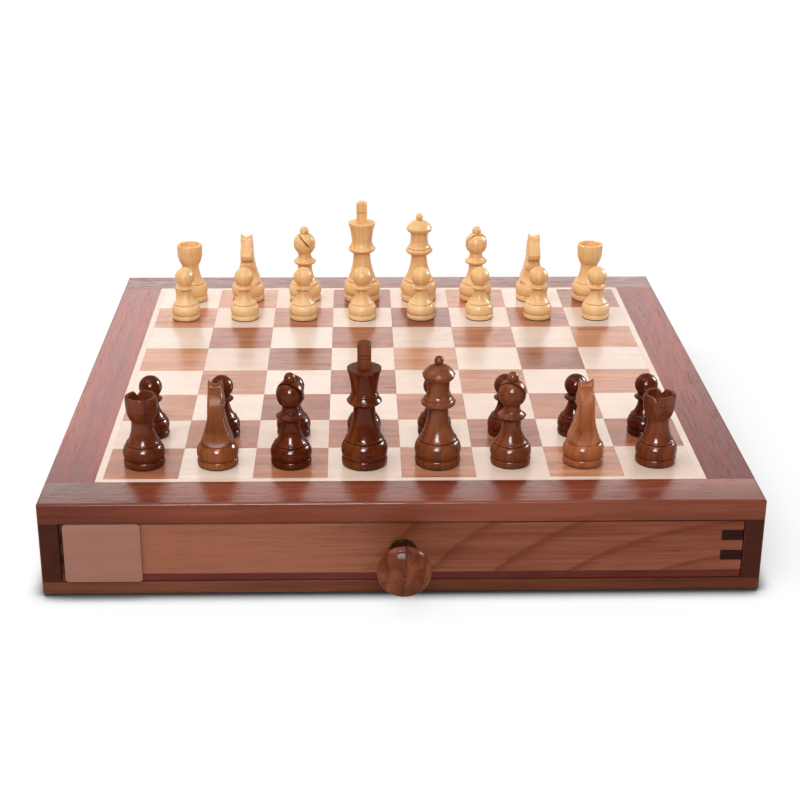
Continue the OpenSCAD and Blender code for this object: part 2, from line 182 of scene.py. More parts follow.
def openness(reach, **facing):
    """1 where nothing stands within reach of the table, less under and beside the box."""
    return nodes.node("AmbientOcclusion", {"samples": 8}, {"Distance": reach, **facing},
                      out="AO")


# Painted shadow: the table's glow darkens close to the box, and most on the side away from the
# lamps, wherever ambient occlusion finds the box near.
toward_light = nodes.node("CombineXYZ", {}, {0: -0.6, 1: -0.55, 2: 0.58})
contact = openness(0.012).ease(0.45, 1.0)
flank = openness(0.12, Normal=toward_light).ease(0.0, 0.79)
in_contact, overall, by_flank, nearby = 0.04, 0.25, 0.63, 0.05
lit = (in_contact + (1 - in_contact) * contact) * (
    overall + by_flank * flank + nearby * openness(0.07))
seen = nodes.node("AddShader", {}, {
    0: nodes.node("BsdfDiffuse", {}, {"Color": (0.08, 0.08, 0.08, 1)}),
    1: nodes.node("Emission", {}, {"Color": lit.mix((0, 0, 0), (1, 1, 1))})})
plainly = nodes.node("LightPath", out="Is Camera Ray") + mirror_sight(nodes)
nodes.node("OutputMaterial", {}, {"Surface": nodes.node("MixShader", {}, {
    0: plainly, 1: nodes.node("BsdfDiffuse", {}, {"Color": (0.8, 0.8, 0.8, 1)}), 2: seen})})

half_table, table_z = 14.0, -0.0003
table_mesh = bpy.data.meshes.new("table")
table_mesh.from_pydata([(x * half_table, y * half_table, table_z)
                        for x, y in ((-1, -1), (1, -1), (1, 1), (-1, 1))], [], [(0, 1, 2, 3)])
table_mesh.materials.append(white_table)
table = bpy.data.objects.new("table", table_mesh)
bpy.context.scene.collection.objects.link(table)


# ---- Lamps -------------------------------------------------------------------------------
# A broad soft light overhead and to the left, one over the camera, and the lit backdrop that
# shines off the borders. Two small reflectors only put the bright spots on the lacquer.

def softbox(name, place, aim, width, height, watts, only_gloss=False):
    """A lit panel at a place, turned towards its aim."""
    light = bpy.data.lights.new(name, "AREA")
    light.shape, light.size, light.size_y, light.energy = "RECTANGLE", width, height, watts
    lamp = bpy.data.objects.new(name, light)
    lamp.location = place
    lamp.rotation_euler = (Vector(aim) - Vector(place)).to_track_quat("-Z", "Y").to_euler()
    lamp.visible_diffuse = not only_gloss
    bpy.context.scene.collection.objects.link(lamp)


softbox("overhead", (-0.6, -0.2, 1.9), (0, 0, 0.05), 1.6, 1.6, 21)
softbox("front", (0.0, -1.05, 1.0), (0, -0.1, 0.08), 0.5, 0.4, 6)
softbox("backdrop", (-0.35, 2.4, 1.0), (0, 0, 0.05), 3.0, 0.95, 27)
softbox("front_spot", (-0.12, -1.05, 0.57), (0, -0.1, 0.08), 0.34, 0.32, 17, only_gloss=True)
softbox("flank_spot", (1.05, 0.5, 0.52), (0, -0.05, 0.08), 0.42, 0.42, 38, only_gloss=True)


# ---- Top frame ---------------------------------------------------------------------------
# Four walnut boards round the playing field, butted at the corners and glued to the walls.
# Their outer edges are rounded over. The side boards are redder, and darker at the front.

def wood(name, along, tones, shift=(0, 0, 0), heart=(0.09, -0.05), lean=(0, 0), ring=0.007,
         figure=0.15, streak=0.9, fibre=0.35, pore=0.3, rough=0.22, shine=0.1, coat=0.0,
         end_shade=0.45, cells=None, figure_from=None, paler=0.0, late=2.5, painted_shade_spans=(),
         wander=0.02, coat_ior=1.5, coat_rough=0.06, grain=0.35):
    """A lacquered wood whose grain runs along "x", "y" or "z". The year rings lie round a
    heart off to the side, which leans against the grain to draw arches and wanders a little,
    and tones are the dark, middle and pale colours. With cells, a first corner and a width,
    each square has its own wood. The figure may start between two places along the grain,
    with the wood paler before it, which on the light men's feet is painted light, and late is
    how late in its year the dark wood grows. A span of painted shade is an axis, where the
    wood is still unshaded and where the painted shade is darkest."""
    finish, nodes = new_finish(name)
    place = nodes.node("TexCoord", out="Object")
    spot = place
    luck = None
    if cells:
        corner, width = cells
        cell = place.node("VectorMath", {"operation": "FLOOR"}, {0: place.node(
            "VectorMath", {"operation": "MULTIPLY_ADD"},
            {0: place, 1: (1 / width, 1 / width, 0), 2: (-corner / width, -corner / width, 0)})})
        cell = place.node("VectorMath", {"operation": "ADD"}, {0: cell, 1: shift})
        luck = place.node("TexWhiteNoise", {}, {"Vector": cell}, out="Value")
        place = place.node("VectorMath", {"operation": "ADD"}, {
            0: place, 1: place.node("TexWhiteNoise", {}, {"Vector": cell}, out="Color")})
    place = place.node("VectorMath", {"operation": "ADD"}, {0: place, 1: shift})
    spread = dict(zip("xyz", [place.node("SeparateXYZ", {}, {0: place}, out=i)
                              for i in range(3)]))
    run = spread.pop(along)
    side, depth = spread.values()

    def noise(lengthwise, crosswise, detail=2.0):
        at = nodes.node("CombineXYZ", {}, {0: run * lengthwise, 1: side * crosswise,
                                           2: depth * crosswise})
        return nodes.node("TexNoise", {}, {"Vector": at, "Scale": 1.0, "Detail": detail})

    from_heart = ((side - heart[0] + lean[0] * run + wander * (noise(5, 22) - 0.5)) ** 2
                  + (depth - heart[1] + lean[1] * run) ** 2)
    years = (from_heart.maths("SQRT", from_heart) + 0.003 * noise(14, 260, detail=1)) / ring
    year = years.maths("FRACT", years)
    late_wood = year ** late * (1 - year.ease(0.9, 1.0))
    broad, fine = noise(7, 90), noise(22, 800)
    tone = 0.5 + streak * (broad - 0.5) + fibre * (fine - 0.5)
    if figure_from is not None:
        begun = run.ease(*figure_from)
        tone, figure = tone + paler * (1 - begun), figure * begun
    tone = tone - figure * (late_wood - 0.25)
    if luck:
        tone = tone + 0.5 * (luck - 0.5)
    dark, middle, pale = tones

    def darker(share):
        return [share * c for c in dark]

    colour = nodes.node("ValToRGB", {"stops": ((0.15, dark), (0.5, middle), (0.85, pale))},
                        {"Fac": tone})
    pores = noise(70, 2400, detail=1).ease(0.6, 0.72)
    colour = (pore * pores).mix(colour, darker(0.45))
    facing = nodes.node("SeparateXYZ", {}, {0: nodes.node("TexCoord", out="Normal")},
                        out="xyz".index(along))
    end_grain = abs(facing).ease(0.6, 0.95)
    colour = (end_shade * end_grain).mix(colour, darker(0.3))
    # Painted shade: along each span the colour darkens, standing for shade in gaps and under
    # overhangs.
    for axis, unshaded_at, darkest_at in painted_shade_spans:
        at = nodes.node("SeparateXYZ", {}, {0: spot}, out="xyz".index(axis))
        colour = (0.9 * at.ease(unshaded_at, darkest_at)).mix(colour, darker(0.25))
    bump = nodes.node("Bump", {}, {"Strength": grain, "Distance": 0.0002,
                                   "Height": 0.5 * fine - pores})
    shader = nodes.node("BsdfPrincipled", {}, {
        "Base Color": colour,
        "Roughness": rough + 0.2 * (broad - 0.5) + 0.12 * pores + 0.35 * end_grain,
        "Specular IOR Level": shine, "Coat Weight": coat * (1 - 0.8 * end_grain),
        "Coat IOR": coat_ior, "Coat Roughness": coat_rough, "Normal": bump})
    nodes.node("OutputMaterial", {}, {"Surface": shader})
    return finish


def show(name, mesh, finish, slot, body, *stands_for):
    """Puts a made mesh in the place of CAD nodes, on the body that carries them."""
    piece = bpy.data.objects.new(name, mesh)
    bpy.context.scene.collection.objects.link(piece)
    mesh.materials.clear()
    mesh.materials.append(finish)
    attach(piece, body)
    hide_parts(*stands_for)
    return piece


def sanded(node, width, finish, slot):
    """The CAD board itself, with its sharp edges taken off by sanding."""
    rough = bmesh.new()
    rough.from_mesh(frame["nodes"][node].data)
    bmesh.ops.remove_doubles(rough, verts=rough.verts, dist=2e-6)
    bmesh.ops.dissolve_limit(rough, angle_limit=math.radians(0.5), verts=rough.verts,
                             edges=rough.edges)
    rough.verts.index_update()
    board = bpy.data.meshes.new(node + "_sanded")
    board.from_pydata([v.co[:] for v in rough.verts], [],
                      [[v.index for v in face.verts] for face in rough.faces])
    rough.free()
    crease = math.radians(30)
    board.polygons.foreach_set("use_smooth", [True] * len(board.polygons))
    board.set_sharp_from_angle(angle=crease)
    piece = show(node + "_board", board, finish, slot, frame["nodes"][node]["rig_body"], node)
    easing = piece.modifiers.new("sanded edges", "BEVEL")
    easing.width, easing.segments = width, 2
    easing.limit_method, easing.angle_limit = "ANGLE", crease
    easing.harden_normals = True
    return piece


walnut_tones = ((0.108, 0.017, 0.007), (0.190, 0.041, 0.017), (0.290, 0.077, 0.039))
side_tones = ((0.140, 0.018, 0.010), (0.255, 0.044, 0.023), (0.380, 0.082, 0.049))
for node, along, shift, figure in (
        ("top_rail_front", "x", (0.3, 0, 0), {"figure_from": (0.1, 0.2), "paler": -0.28,
                                              "shine": 0.18, "rough": 0.26}),
        ("top_rail_back", "x", (1.1, 0.2, 0), {}),
        ("top_rail_left", "y", (0, 0.7, 0.1), {"figure_from": (0.50, 0.62), "paler": -0.3,
                                               "shine": 0.08}),
        ("top_rail_right", "y", (0.1, 1.9, 0.1), {"figure_from": (1.72, 1.98), "paler": -0.32,
                                                  "shine": 0.05})):
    tones = side_tones if along == "y" else walnut_tones
    sanded(node, 0.0001, wood(node + "_walnut", along, tones, shift, **figure), "walnut")


# ---- Playing field -----------------------------------------------------------------------
# Sixty-four veneer squares on a core panel, with a pale line of stringing round them. The
# grain of all squares runs across the board, and each is cut from another piece.

square_width, veneer_easing = 0.042, 0.00004
field_corner = -4 * square_width
tan_tones = ((0.22, 0.062, 0.028), (0.37, 0.132, 0.066), (0.57, 0.265, 0.140))
cream_tones = ((0.60, 0.435, 0.34), (0.69, 0.53, 0.43), (0.76, 0.62, 0.52))
sanded("dark_squares", veneer_easing, wood(
    "walnut_veneer", "x", tan_tones, (3.0, 0, 0), streak=0.8, pore=0.25,
    cells=(field_corner, square_width)), "walnut_squares")
sanded("light_squares", veneer_easing, wood(
    "maple_veneer", "x", cream_tones, (8.0, 0, 0), figure=0.05, streak=0.5, fibre=0.15,
    pore=0.03, cells=(field_corner, square_width)), "maple_squares")
sanded("stringing", veneer_easing, wood(
    "maple_stringing", "x", cream_tones, (5.0, 0, 0), figure=0.1, streak=0.6, fibre=0.2,
    pore=0.03), "maple_line")
ply_tones = ((0.30, 0.16, 0.085), (0.45, 0.27, 0.15), (0.56, 0.37, 0.22))
plywood = wood("plywood", "x", ply_tones, (2.0, 0, 0), rough=0.6, shine=0.2)
sanded("board_core", 0.0001, plywood, "plywood")


# ---- Walls and bottom --------------------------------------------------------------------
# Two solid side walls whose end grain shows as dark stiles beside each drawer, a bottom
# board between the table and the drawers, and a thin wall that stops both drawers.

bottom_tones = ((0.073, 0.012, 0.005), (0.128, 0.032, 0.013), (0.200, 0.070, 0.036))
for node, shift in (("side_wall_left", (0, 0.4, 0.5)), ("side_wall_right", (0, 1.3, 0.2))):
    sanded(node, 0.0003, wood(node + "_walnut", "y", walnut_tones, shift, end_shade=0.85),
           "walnut")
sanded("bottom_board", 0.0002, wood(
    "bottom_walnut", "x", bottom_tones, (0.6, 0.3, 0.8), figure_from=(0.55, 0.61), paler=0.15),
    "walnut")
sanded("middle_wall", 0.0003, plywood, "plywood")


# ---- Felt --------------------------------------------------------------------------------
# Four round pads let the box stand without scratching the table, and the same green felt
# lines both drawers.

def felt_finish(name, colour):
    """Pressed wool: fluff in fine specks, worn in patches."""
    finish, nodes = new_finish(name)
    place = nodes.node("TexCoord", out="Object")
    fluff = nodes.node("TexNoise", {}, {"Vector": place, "Scale": 900.0, "Detail": 3.0})
    wear = nodes.node("TexNoise", {}, {"Vector": place, "Scale": 40.0, "Detail": 2.0})
    shade = (0.6 * fluff + 0.6 * wear).ease(0.3, 0.9)
    shader = nodes.node("BsdfPrincipled", {}, {
        "Base Color": shade.mix([0.6 * c for c in colour], [1.4 * c for c in colour]),
        "Roughness": 0.95, "Specular IOR Level": 0.15, "Sheen Weight": 0.3,
        "Normal": nodes.node("Bump", {}, {"Strength": 0.6, "Distance": 0.0004,
                                          "Height": fluff})})
    nodes.node("OutputMaterial", {}, {"Surface": shader})
    return finish


green_felt = felt_finish("green_felt", (0.022, 0.075, 0.045))
for node in ("felt_pads", "front_drawer_lining", "rear_drawer_lining"):
    sanded(node, 0.0002, green_felt, "felt")


# ---- Drawers -----------------------------------------------------------------------------
# The face and back boards are joined to the sides with fingers, whose end grain shows dark
# at the corners. The faces have painted shade along their top edge under the rail, and the
# front one also at its left end beside the name plate. A thin panel under them carries the
# men, and half-lapped strips part it.

face_tones = ((0.088, 0.016, 0.006), (0.188, 0.048, 0.021), (0.335, 0.118, 0.066))
divider_tones = ((0.34, 0.20, 0.11), (0.48, 0.31, 0.18), (0.60, 0.42, 0.26))
stain_tones = ((0.070, 0.009, 0.006), (0.120, 0.020, 0.014), (0.175, 0.038, 0.024))
stained_panel = wood("stained_panel", "x", stain_tones, (2.0, 0, 0), rough=0.35,
                     figure_from=(1.95, 2.01), paler=0.1)
face_y = 0.1995
# Painted shade on the faces: a dark band along the top edge under the rail, and on the front face
# a dark strip at its left end beside the name plate.
shade_under_rail, shade_beside_plate = ("z", 0.0433, 0.0439), ("x", -0.1863, -0.1868)
for end, facing, shift, face_shade in (("front", -1, (0.0, 0.0, 0.0), (shade_under_rail, shade_beside_plate)),
                                 ("rear", 1, (2.3, 0.6, 0.4), (shade_under_rail,))):
    sanded(end + "_drawer_face", 0.0002, wood(
        end + "_face_walnut", "x", face_tones, shift, heart=(-0.0655, -0.0573), lean=(0.658, 0),
        ring=0.0209, figure=0.42, streak=0.6, late=9, wander=0.005,
        figure_from=(-0.06, 0.03), paler=0.38, painted_shade_spans=face_shade), "drawer_walnut")
    # Painted shade: the sides darken over their last millimetre before the face, in the gaps
    # beside the drawer; on the finger ends it deepens their darker end grain.
    shaded_finger_ends = ("y", 0.995 * facing * face_y, 0.998 * facing * face_y)
    sanded(end + "_drawer_sides", 0.0003, wood(
        end + "_sides_walnut", "y", face_tones, shift, end_shade=0.85, shine=0.07,
        painted_shade_spans=(shaded_finger_ends,)), "drawer_walnut")
    sanded(end + "_drawer_back", 0.0003, wood(
        end + "_back_walnut", "x", face_tones, shift, end_shade=0.85), "drawer_walnut")
    sanded(end + "_drawer_bottom", 0.0003, stained_panel, "plywood")
    sanded(end + "_drawer_dividers", 0.0002, wood(
        end + "_dividers", "x", divider_tones, shift, rough=0.55), "divider_wood")


# ---- Name plate --------------------------------------------------------------------------
# A thin leather-brown plate glued to the left end of the front drawer's face, left bare.
# It was trimmed a millimetre short there, and leaves a gap, which painted shade on the face
# darkens.

plate_tones = ((0.26, 0.115, 0.082), (0.335, 0.155, 0.112), (0.41, 0.205, 0.155))
plate_middle, trimmed = -0.17, 0.001
plate = sanded("name_plate", 0.0004, wood(
    "plate_wood", "x", plate_tones, (4, 0, 0), figure=0.05, streak=0.4, fibre=0.15, pore=0.05,
    rough=0.45), "plate")
for corner in plate.data.vertices:
    if corner.co.x < plate_middle:
        corner.co.x += trimmed


# ---- Turning -----------------------------------------------------------------------------
# The knobs and the men come off the lathe, but for the knights' heads and the kings'
# crosses. A profile is a list of (radius, height) in millimetres, built from the same
# hollows, swells and rims as the CAD.

MM = 0.001


def bowed(start, end, bow, steps=8):
    """Points of an arc from start to end that stands out by bow, or in by a negative one."""
    (r0, z0), (r1, z1) = start, end
    span = math.hypot(r1 - r0, z1 - z0)
    along = ((r1 - r0) / span, (z1 - z0) / span)
    side = math.copysign(1, bow)
    outward = (side * along[1], -side * along[0])
    radius = (span * span / 4 + bow * bow) / (2 * abs(bow))
    half = math.asin(min(1, span / 2 / radius))
    points = []
    for i in range(steps + 1):
        turn = half * (2 * i / steps - 1)
        off = abs(bow) - radius + radius * math.cos(turn)
        points.append(((r0 + r1) / 2 + along[0] * radius * math.sin(turn) + outward[0] * off,
                       (z0 + z1) / 2 + along[1] * radius * math.sin(turn) + outward[1] * off))
    return points


def foot(d, h):
    """The foot that all men share: an upright base, a fine groove and a swell over it."""
    r = d / 2
    return [*bowed((0.96 * r, 0.6), (0.95 * r, 0.33 * h), 0.03 * r),
            (0.9 * r, 0.33 * h), (0.9 * r, 0.38 * h),
            *bowed((0.95 * r, 0.38 * h), (0.84 * r, h), 0.1 * r, 12)]


def bead(d, z0, z1):
    """The ring over a foot of that diameter."""
    return bowed((0.39 * d, z0), (0.39 * d, z1), 0.025 * d, 5)


def collar(r, neck_r, z0, rim_z, z1, top_r):
    """A flared ring round a neck, with a dark groove under it."""
    rim_t, undercut = 0.5, 0.55
    return [(neck_r - 1.6, z0), (neck_r - 1.6, z0 + undercut),
            *bowed((neck_r, z0 + undercut), (r - 0.12, rim_z), 0.35, 6), (r, rim_z),
            (r, rim_z + rim_t),
            *bowed((r - 0.12, rim_z + rim_t), (top_r, z1), -0.07 * (z1 - rim_z), 6)]


def dome(r, z0, z1):
    """The cap of a ball, as wide as r at its foot."""
    ball_r = (r * r + (z1 - z0) ** 2) / (2 * (z1 - z0))
    low = math.asin(max(-1, 1 - (z1 - z0) / ball_r))
    return [(ball_r * math.cos(a), z1 - ball_r + ball_r * math.sin(a))
            for a in np.linspace(low, math.pi / 2, 12)]


def ball(r, z, neck_r):
    """A ball from where it grows out of a neck of that radius."""
    low = -math.acos(min(1, neck_r / r))
    return [(r * math.cos(a), z + r * math.sin(a)) for a in np.linspace(low, math.pi / 2, 18)]


def eased_profile(points, radius=0.3):
    """The profile with its sharp corners rounded a little, as sanding on the lathe does."""
    kept = [points[0]]
    for before, here, after in zip(points, points[1:], points[2:]):
        a, b = Vector(before) - Vector(here), Vector(after) - Vector(here)
        if a.length < 1e-6 or b.length < 1e-6:
            continue
        bend = math.pi - a.angle(b)
        if bend < 0.4:
            kept.append(here)
            continue
        back = [Vector(here) + v.normalized() * min(radius, 0.4 * v.length) for v in (a, b)]
        kept += [back[0][:], ((back[0] + back[1] + 2 * Vector(here)) / 4)[:], back[1][:]]
    return kept + [points[-1]]


def turned(name, profile, steps=72):
    """A closed mesh turned round the upright axis."""
    profile = [(max(r, 0), z) for r, z in eased_profile(profile)]
    made = bmesh.new()
    rings = []
    for r, z in profile:
        if r < 1e-3:
            rings.append([made.verts.new((0, 0, z * MM))])
        else:
            rings.append([made.verts.new((r * MM * math.cos(a), r * MM * math.sin(a), z * MM))
                          for a in np.linspace(0, math.tau, steps, endpoint=False)])
    for low, high in zip(rings, rings[1:]):
        for i in range(steps):
            j = (i + 1) % steps
            if len(high) == 1:
                made.faces.new((low[i], low[j], high[0]))
            else:
                made.faces.new((low[i], low[j], high[j], high[i]))
    made.faces.new(reversed(rings[0]))
    if len(rings[-1]) > 1:
        made.faces.new(rings[-1])
    mesh = bpy.data.meshes.new(name)
    made.to_mesh(mesh)
    made.free()
    return mesh


def smooth(mesh, angle=35):
    """The mesh shaded smoothly, apart from creases sharper than the angle in degrees."""
    mesh.polygons.foreach_set("use_smooth", [True] * len(mesh.polygons))
    mesh.set_sharp_from_angle(angle=math.radians(angle))
    return mesh


# ---- Knobs -------------------------------------------------------------------------------
# A turned mushroom knob on each drawer, glued by its dowel into the face. The hollow behind
# the cap is darkened towards the face with painted shade.

knob_reach, knob_r, neck_r = 30.0, 15.0, 6.0
knob_profile = [(7.9, 0.02), (7.9, 2.2),
                *bowed((7.7, 2.2), (neck_r, 15.5), -0.8),
                *bowed((neck_r + 0.5, 15.5), (knob_r - 0.7, 21.4), 1.6, 10),
                *bowed((knob_r - 0.7, 21.4), (knob_r - 0.5, 24.5), 0.6, 8),
                *bowed((knob_r - 0.5, 24.5), (knob_r - 1.8, 26.0), 0.42, 6)[1:],
                *[p for p in dome(knob_r - 1.8, 26.0, knob_reach) if 1 < p[0] < knob_r - 2],
                (0.8, 29.9), (0.5, 29.2), (0, 29.1)]
knob_tones = ((0.068, 0.012, 0.005), (0.172, 0.042, 0.017), (0.30, 0.098, 0.042))
knob_z = 0.026
for end, facing in (("front", -1), ("rear", 1)):
    knob = smooth(turned(end + "_knob", knob_profile))
    knob.transform(Matrix.Translation((0, facing * face_y, knob_z))
                   @ Matrix.Rotation(-facing * math.pi / 2, 4, "X"))
    # Painted shade: the knob's neck and flange darken towards the face, under the cap.
    shade_behind_cap = ("y", 0.2235 * facing, 0.2145 * facing)
    show(end + "_knob", knob, wood(
        end + "_knob_lacquer", "y", knob_tones, (-0.5 * facing, 0, 0), heart=(0.02, 0.04),
        ring=0.011, figure=0.25, streak=1.3, shine=0.05, rough=0.3, grain=0.05, end_shade=0.1,
        coat=0.09, coat_ior=2.2, coat_rough=0.13, painted_shade_spans=(shade_behind_cap,)),
        "knob_wood", f"drawer_{end}", end + "_drawer_knob")


# ---- Chessmen's finishes -----------------------------------------------------------------
# The dark men are stained red-brown, each kind to its own depth, and lacquered to a gloss,
# but for the satin heads of the knights and crosses of the kings. The light men are boxwood
# under a satin lacquer, painted paler at their feet as painted light thrown up from the board.

dark_stain = {
    "deep": ((0.048, 0.005, 0.001), (0.098, 0.013, 0.002), (0.165, 0.032, 0.007)),
    "red": ((0.068, 0.011, 0.004), (0.140, 0.029, 0.009), (0.23, 0.062, 0.024)),
    "brown": ((0.095, 0.019, 0.005), (0.180, 0.045, 0.013), (0.29, 0.090, 0.036)),
    "warm": ((0.140, 0.031, 0.008), (0.265, 0.074, 0.021), (0.39, 0.14, 0.052)),
    "pale": ((0.200, 0.050, 0.016), (0.370, 0.110, 0.036), (0.50, 0.20, 0.085)),
    "royal": ((0.055, 0.007, 0.001), (0.118, 0.019, 0.003), (0.22, 0.060, 0.011)),
}
box_tones = ((0.72, 0.36, 0.120), (0.88, 0.52, 0.225), (0.95, 0.65, 0.34))
mirror_gloss, duller = 0.06, {"brown": 0.17, "pale": 0.17, "red": 0.12}
lacquer = {shade: wood("lacquer_" + shade, "z", tones, (0.1, 0.2, 0), heart=(0.02, 0.3),
                       ring=0.005, figure=0.25, fibre=0.3, pore=0.2, rough=0.28, shine=0.03,
                       coat=0.08, coat_ior=2.4, coat_rough=duller.get(shade, mirror_gloss),
                       end_shade=0.15, grain=0.1)
           for shade, tones in dark_stain.items()}
# Painted light: up to the tops of their feet the light men are paler, as if lit from the board
# below.
lacquer["light"] = wood("boxwood", "z", box_tones, (0.4, 0.1, 0), heart=(0.02, 0.3), ring=0.004,
                        figure=0.2, streak=0.6, fibre=0.2, pore=0.06, rough=0.4, shine=0.15,
                        coat=0.1, end_shade=0.1, figure_from=(0.064, 0.078), paler=0.2)
lacquer["cross"] = wood("cross_stain", "z", dark_stain["brown"], (0.7, 0, 0), figure=0.2,
                        rough=0.5, shine=0.08)
for shade in ("warm", "pale"):
    lacquer["satin_" + shade] = wood("satin_" + shade, "z", dark_stain[shade], (0.1, 0.2, 0),
                                     heart=(0.02, 0.3), ring=0.005, figure=0.25, rough=0.4,
                                     shine=0.1, coat=0.02, coat_ior=2.4, coat_rough=0.3)
contact_shade_felt = felt_finish("contact_shade_felt", (0.03, 0.022, 0.018))

shade_of = {"king": "royal", "queen": "brown", "bishop": "deep", "knight": "warm",
            "rook": "red", "pawn": "deep", "king_top": "cross", "knight_top": "satin_warm",
            "dark_bishop_right": "brown", "dark_knight_right": "pale",
            "dark_knight_right_top": "satin_pale"}
board_top, square = 56.5, 42.0
back_row = ("rook", "knight", "bishop", "king", "queen", "bishop", "knight", "rook")
ranks = {"dark": (0, 1), "light": (7, 6)}


def stand(kind, mesh, foot_d, files=range(8), teams=("dark", "light"), top=None):
    """Sets a man on each of its squares among those files, facing the other side, with a felt
    disc glued underneath, dark and as wide as the foot so that it also paints the contact
    shadow, and a top that was made by itself on it."""
    for team, file in itertools.product(teams, files):
        if kind == "pawn":
            node = f"{team}_pawn_{file + 1}"
        elif back_row[file] != kind:
            continue
        else:
            hand = "" if kind in ("king", "queen") else ("_left", "_right")[file > 3]
            node = f"{team}_{kind}{hand}"
        spot = Matrix.Translation(((file - 3.5) * square * MM,
                                   (ranks[team][kind == "pawn"] - 3.5) * square * MM,
                                   board_top * MM))
        spot = spot @ Matrix.Rotation(math.pi if team == "light" else 0, 4, "Z")
        body = frame["nodes"][node]["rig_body"]
        for part, ending, shape in (("man", "", mesh), ("top", "_top", top)):
            if shape:
                shape = shape.copy()
                shape.transform(spot)
                shade = shade_of.get(node + ending, shade_of[kind + ending])
                show(f"{node}_{part}", shape, lacquer["light" if team == "light" else shade],
                     team + "_men", body, node)
        # Painted shade: the dark felt disc reaches to the foot's edge, so it is both felt and the
        # contact shadow under the man.
        disc_r = 0.955 * foot_d / 2
        disc = smooth(turned(node + "_felt", [(disc_r, 0.02), (disc_r, 0.59)], 48))
        disc.transform(spot)
        show(node + "_felt", disc, contact_shade_felt, "felt", body, node)


# ---- Kings -------------------------------------------------------------------------------
# The tallest men: a turned body with a flared crown, and a cross-shaped finial set into it
# edge-on, filed across the front and the back under its arms.

def block(points, thickness):
    """A flat piece sawn from a board: its outline upright, its thickness front to back."""
    made = bmesh.new()
    sides = [[made.verts.new((x * MM, y * MM, z * MM)) for x, z in points]
             for y in (-thickness / 2, thickness / 2)]
    made.faces.new(sides[0])
    made.faces.new(reversed(sides[1]))
    for i in range(len(points)):
        j = (i + 1) % len(points)
        made.faces.new((sides[0][j], sides[0][i], sides[1][i], sides[1][j]))
    bmesh.ops.bevel(made, geom=[e for e in made.edges if e.calc_face_angle(0) > 0.6],
                    offset=0.4 * MM, segments=2, affect="EDGES", profile=0.5)
    mesh = bpy.data.meshes.new("block")
    bmesh.ops.recalc_face_normals(made, faces=made.faces)
    made.to_mesh(mesh)
    made.free()
    return mesh


def worked(mesh, tool):
    """The mesh after a saw cut or a file's stroke of the tool's shape."""
    job, shape = (bpy.data.objects.new("job", m) for m in (mesh, tool))
    for o in (job, shape):
        bpy.context.scene.collection.objects.link(o)
    cut = job.modifiers.new("work", "BOOLEAN")
    cut.object, cut.operation, cut.solver = shape, "DIFFERENCE", "EXACT"
    done = bpy.data.meshes.new_from_object(
        job.evaluated_get(bpy.context.evaluated_depsgraph_get()))
    for o in (job, shape):
        bpy.data.objects.remove(o)
    return done


king_foot, crown_z = 26.6, 58.5
finial_w, finial_t, finial_h, file_r = 7.8, 7.0, 16.5, 1.248
top_r = 0.75 * finial_w
half_arc = math.asin(finial_w / 2 / top_r)
rounded_top = [(top_r * math.sin(a), finial_h - top_r + top_r * math.cos(a))
               for a in np.linspace(half_arc, -half_arc, 10)]
finial = block([(-finial_w / 2, 0), (finial_w / 2, 0), *rounded_top], finial_t)
for flank in (-1, 1):
    round_file = turned("file", [(file_r, -8), (file_r, 8)], 24)
    round_file.transform(Matrix.Translation((0, flank * finial_t / 2 * MM, 0.5 * finial_h * MM))
                         @ Matrix.Rotation(math.pi / 2, 4, "Y"))
    finial = worked(finial, round_file)
finial.transform(Matrix.Translation((0, 0, (crown_z - 1) * MM)))
king = turned("king", [
    *foot(king_foot, 14.8), *bead(king_foot, 14.8, 16.4), *bowed((10.2, 16.4), (6.1, 36), -1, 12),
    *collar(10, 7.2, 36, 38.6, 43, 7.8), (7.5, 43), (7.5, 43.8),
    *bowed((7.3, 43.8), (9.4, 57), -0.35, 8), (9.7, 57), (9.7, crown_z)])
stand("king", smooth(king), king_foot, top=smooth(finial))


# ---- Queens ------------------------------------------------------------------------------
# As broad in the foot as the kings, with two rings round a slimmer waist, and a domed
# coronet with a small ball on top.

queen_foot = 26.6
queen = turned("queen", [
    *foot(queen_foot, 14.8), *bead(queen_foot, 14.8, 16.4),
    *bowed((10.2, 16.4), (5.7, 35), -1.2, 12), *bowed((7, 35), (9.6, 37), 0.3, 5),
    (9.8, 37), (9.8, 38.3), *bowed((9.3, 38.3), (8.1, 39.4), -0.1, 4), (8.4, 39.4), (8.4, 40.4),
    *bowed((8, 40.4), (6.8, 43.4), -0.3, 5), *bowed((6.5, 43.4), (6.7, 52), -0.4, 8),
    *bowed((8.3, 52), (9.4, 54.7), 0.2, 4),
    *[p for p in dome(9.2, 54.7, 60.4) if p[0] > 1.5], *ball(2.7, 62.6, 1.5)])
stand("queen", smooth(queen), queen_foot)


# ---- Bishops -----------------------------------------------------------------------------
# A mitre-shaped head with a small ball on top, and one slot sawn steeply down into it. Each
# stands as it was put down, so the slots look different ways.

